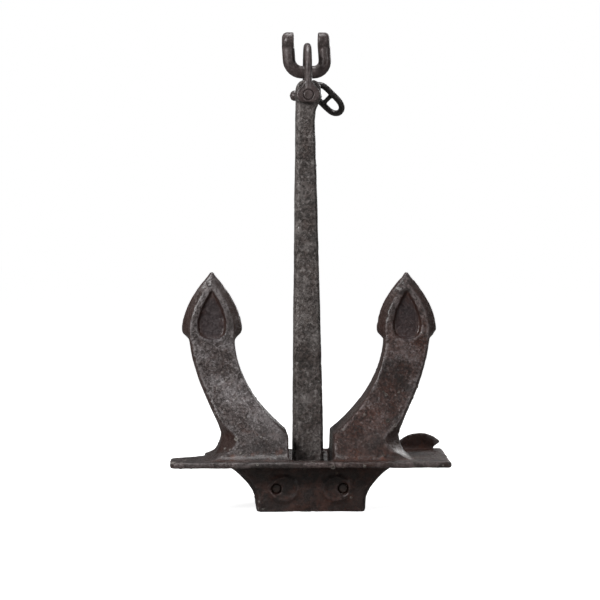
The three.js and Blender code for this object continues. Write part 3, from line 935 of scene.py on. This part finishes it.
@dataclass(frozen=True)
class Studio:
    """A pale floor, soft lights and the camera, sizes in metres and angles in degrees."""

    camera_at: tuple[float, float, float] = (SHANK_X - 0.3545, -7.633, 0.985)
    camera_down: float = 1.955
    camera_right: float = 2.453
    lens_mm: float = 131.3
    sensor_mm: float = 36.0
    far: float = 200.0
    floor_half: float = 40.0
    floor_seen: Colour = (0.80, 0.80, 0.80)
    floor_cast: Colour = (0.30, 0.29, 0.28)
    floor_glow: float = 0.87
    surround: float = 0.16
    aim: tuple[float, float, float] = (0.0, 0.0, 0.8)
    lights: tuple[SoftLight, ...] = (
        SoftLight("key", (-3.2, -3.4, 3.0), side=1.4, power=235.0),
        SoftLight("fill", (3.4, -3.6, 2.2), side=2.0, power=38.0),
        SoftLight("top", (-0.4, 0.2, 4.4), side=1.6, power=80.0),
        SoftLight("back", (2.8, 4.2, 2.6), side=2.2, power=90.0),
    )

    def build(self) -> None:
        """Builds the floor, the world, the lights and the camera."""
        self._floor()
        self._world()
        for light in self.lights:
            light.build(Vector(self.aim))
        self._camera()

    def _floor(self) -> None:
        """Lays the floor, which looks white and throws back little light."""
        half = self.floor_half
        mesh = bpy.data.meshes.new("floor")
        corners = [(-half, -half, 0), (half, -half, 0), (half, half, 0), (-half, half, 0)]
        mesh.from_pydata(corners, [], [(0, 1, 2, 3)])
        floor = bpy.data.objects.new("floor", mesh)
        bpy.context.collection.objects.link(floor)
        material = bpy.data.materials.new("pale_floor")
        material.use_nodes = True
        tree = TreeBuilder(material.node_tree)
        inputs = material.node_tree.nodes["Principled BSDF"].inputs
        seen = tree.add("ShaderNodeLightPath").outputs["Is Camera Ray"]
        tree.feed(inputs["Base Color"], tree.blend(seen, self.floor_cast, self.floor_seen))
        tree.feed(inputs["Emission Strength"], tree.times(seen, self.floor_glow))
        inputs["Emission Color"].default_value = (1.0, 1.0, 1.0, 1.0)
        inputs["Roughness"].default_value = 0.9
        inputs["Specular IOR Level"].default_value = 0.1
        mesh.materials.append(material)

    def _world(self) -> None:
        """Sets an even surround that looks white and lights the anchor softly."""
        world = bpy.data.worlds.new("white_studio")
        world.use_nodes = True
        tree = TreeBuilder(world.node_tree)
        background = world.node_tree.nodes["Background"].inputs
        background["Color"].default_value = (1.0, 1.0, 1.0, 1.0)
        seen = tree.add("ShaderNodeLightPath").outputs["Is Camera Ray"]
        tree.feed(background["Strength"], tree.plus(tree.times(seen, 1.0 - self.surround), self.surround))
        bpy.context.scene.world = world
        bpy.context.scene.view_settings.view_transform = "Standard"

    def _camera(self) -> None:
        """Adds the camera and makes it the scene's."""
        lens = bpy.data.cameras.new("camera")
        lens.lens = self.lens_mm
        lens.sensor_width = self.sensor_mm
        lens.clip_end = self.far
        camera = bpy.data.objects.new("camera", lens)
        camera.location = self.camera_at
        camera.rotation_euler = (math.radians(90 - self.camera_down), 0, math.radians(-self.camera_right))
        bpy.context.collection.objects.link(camera)
        bpy.context.scene.camera = camera


def main() -> None:
    """Builds the studio, then the anchor from its head up, and reports each piece."""
    logging.basicConfig(level=logging.INFO, format="%(name)s: %(message)s")
    Studio().build()
    yard = Yard.open()
    for assembly in (FlukeHead(), Shank(), AnchorShackle(), ChainShackle()):
        for piece in assembly.build(yard):
            log.info("%s: %d faces on body %s", piece.name, len(piece.data.polygons), assembly.body)
    yard.close()


if __name__ == "__main__":
    main()
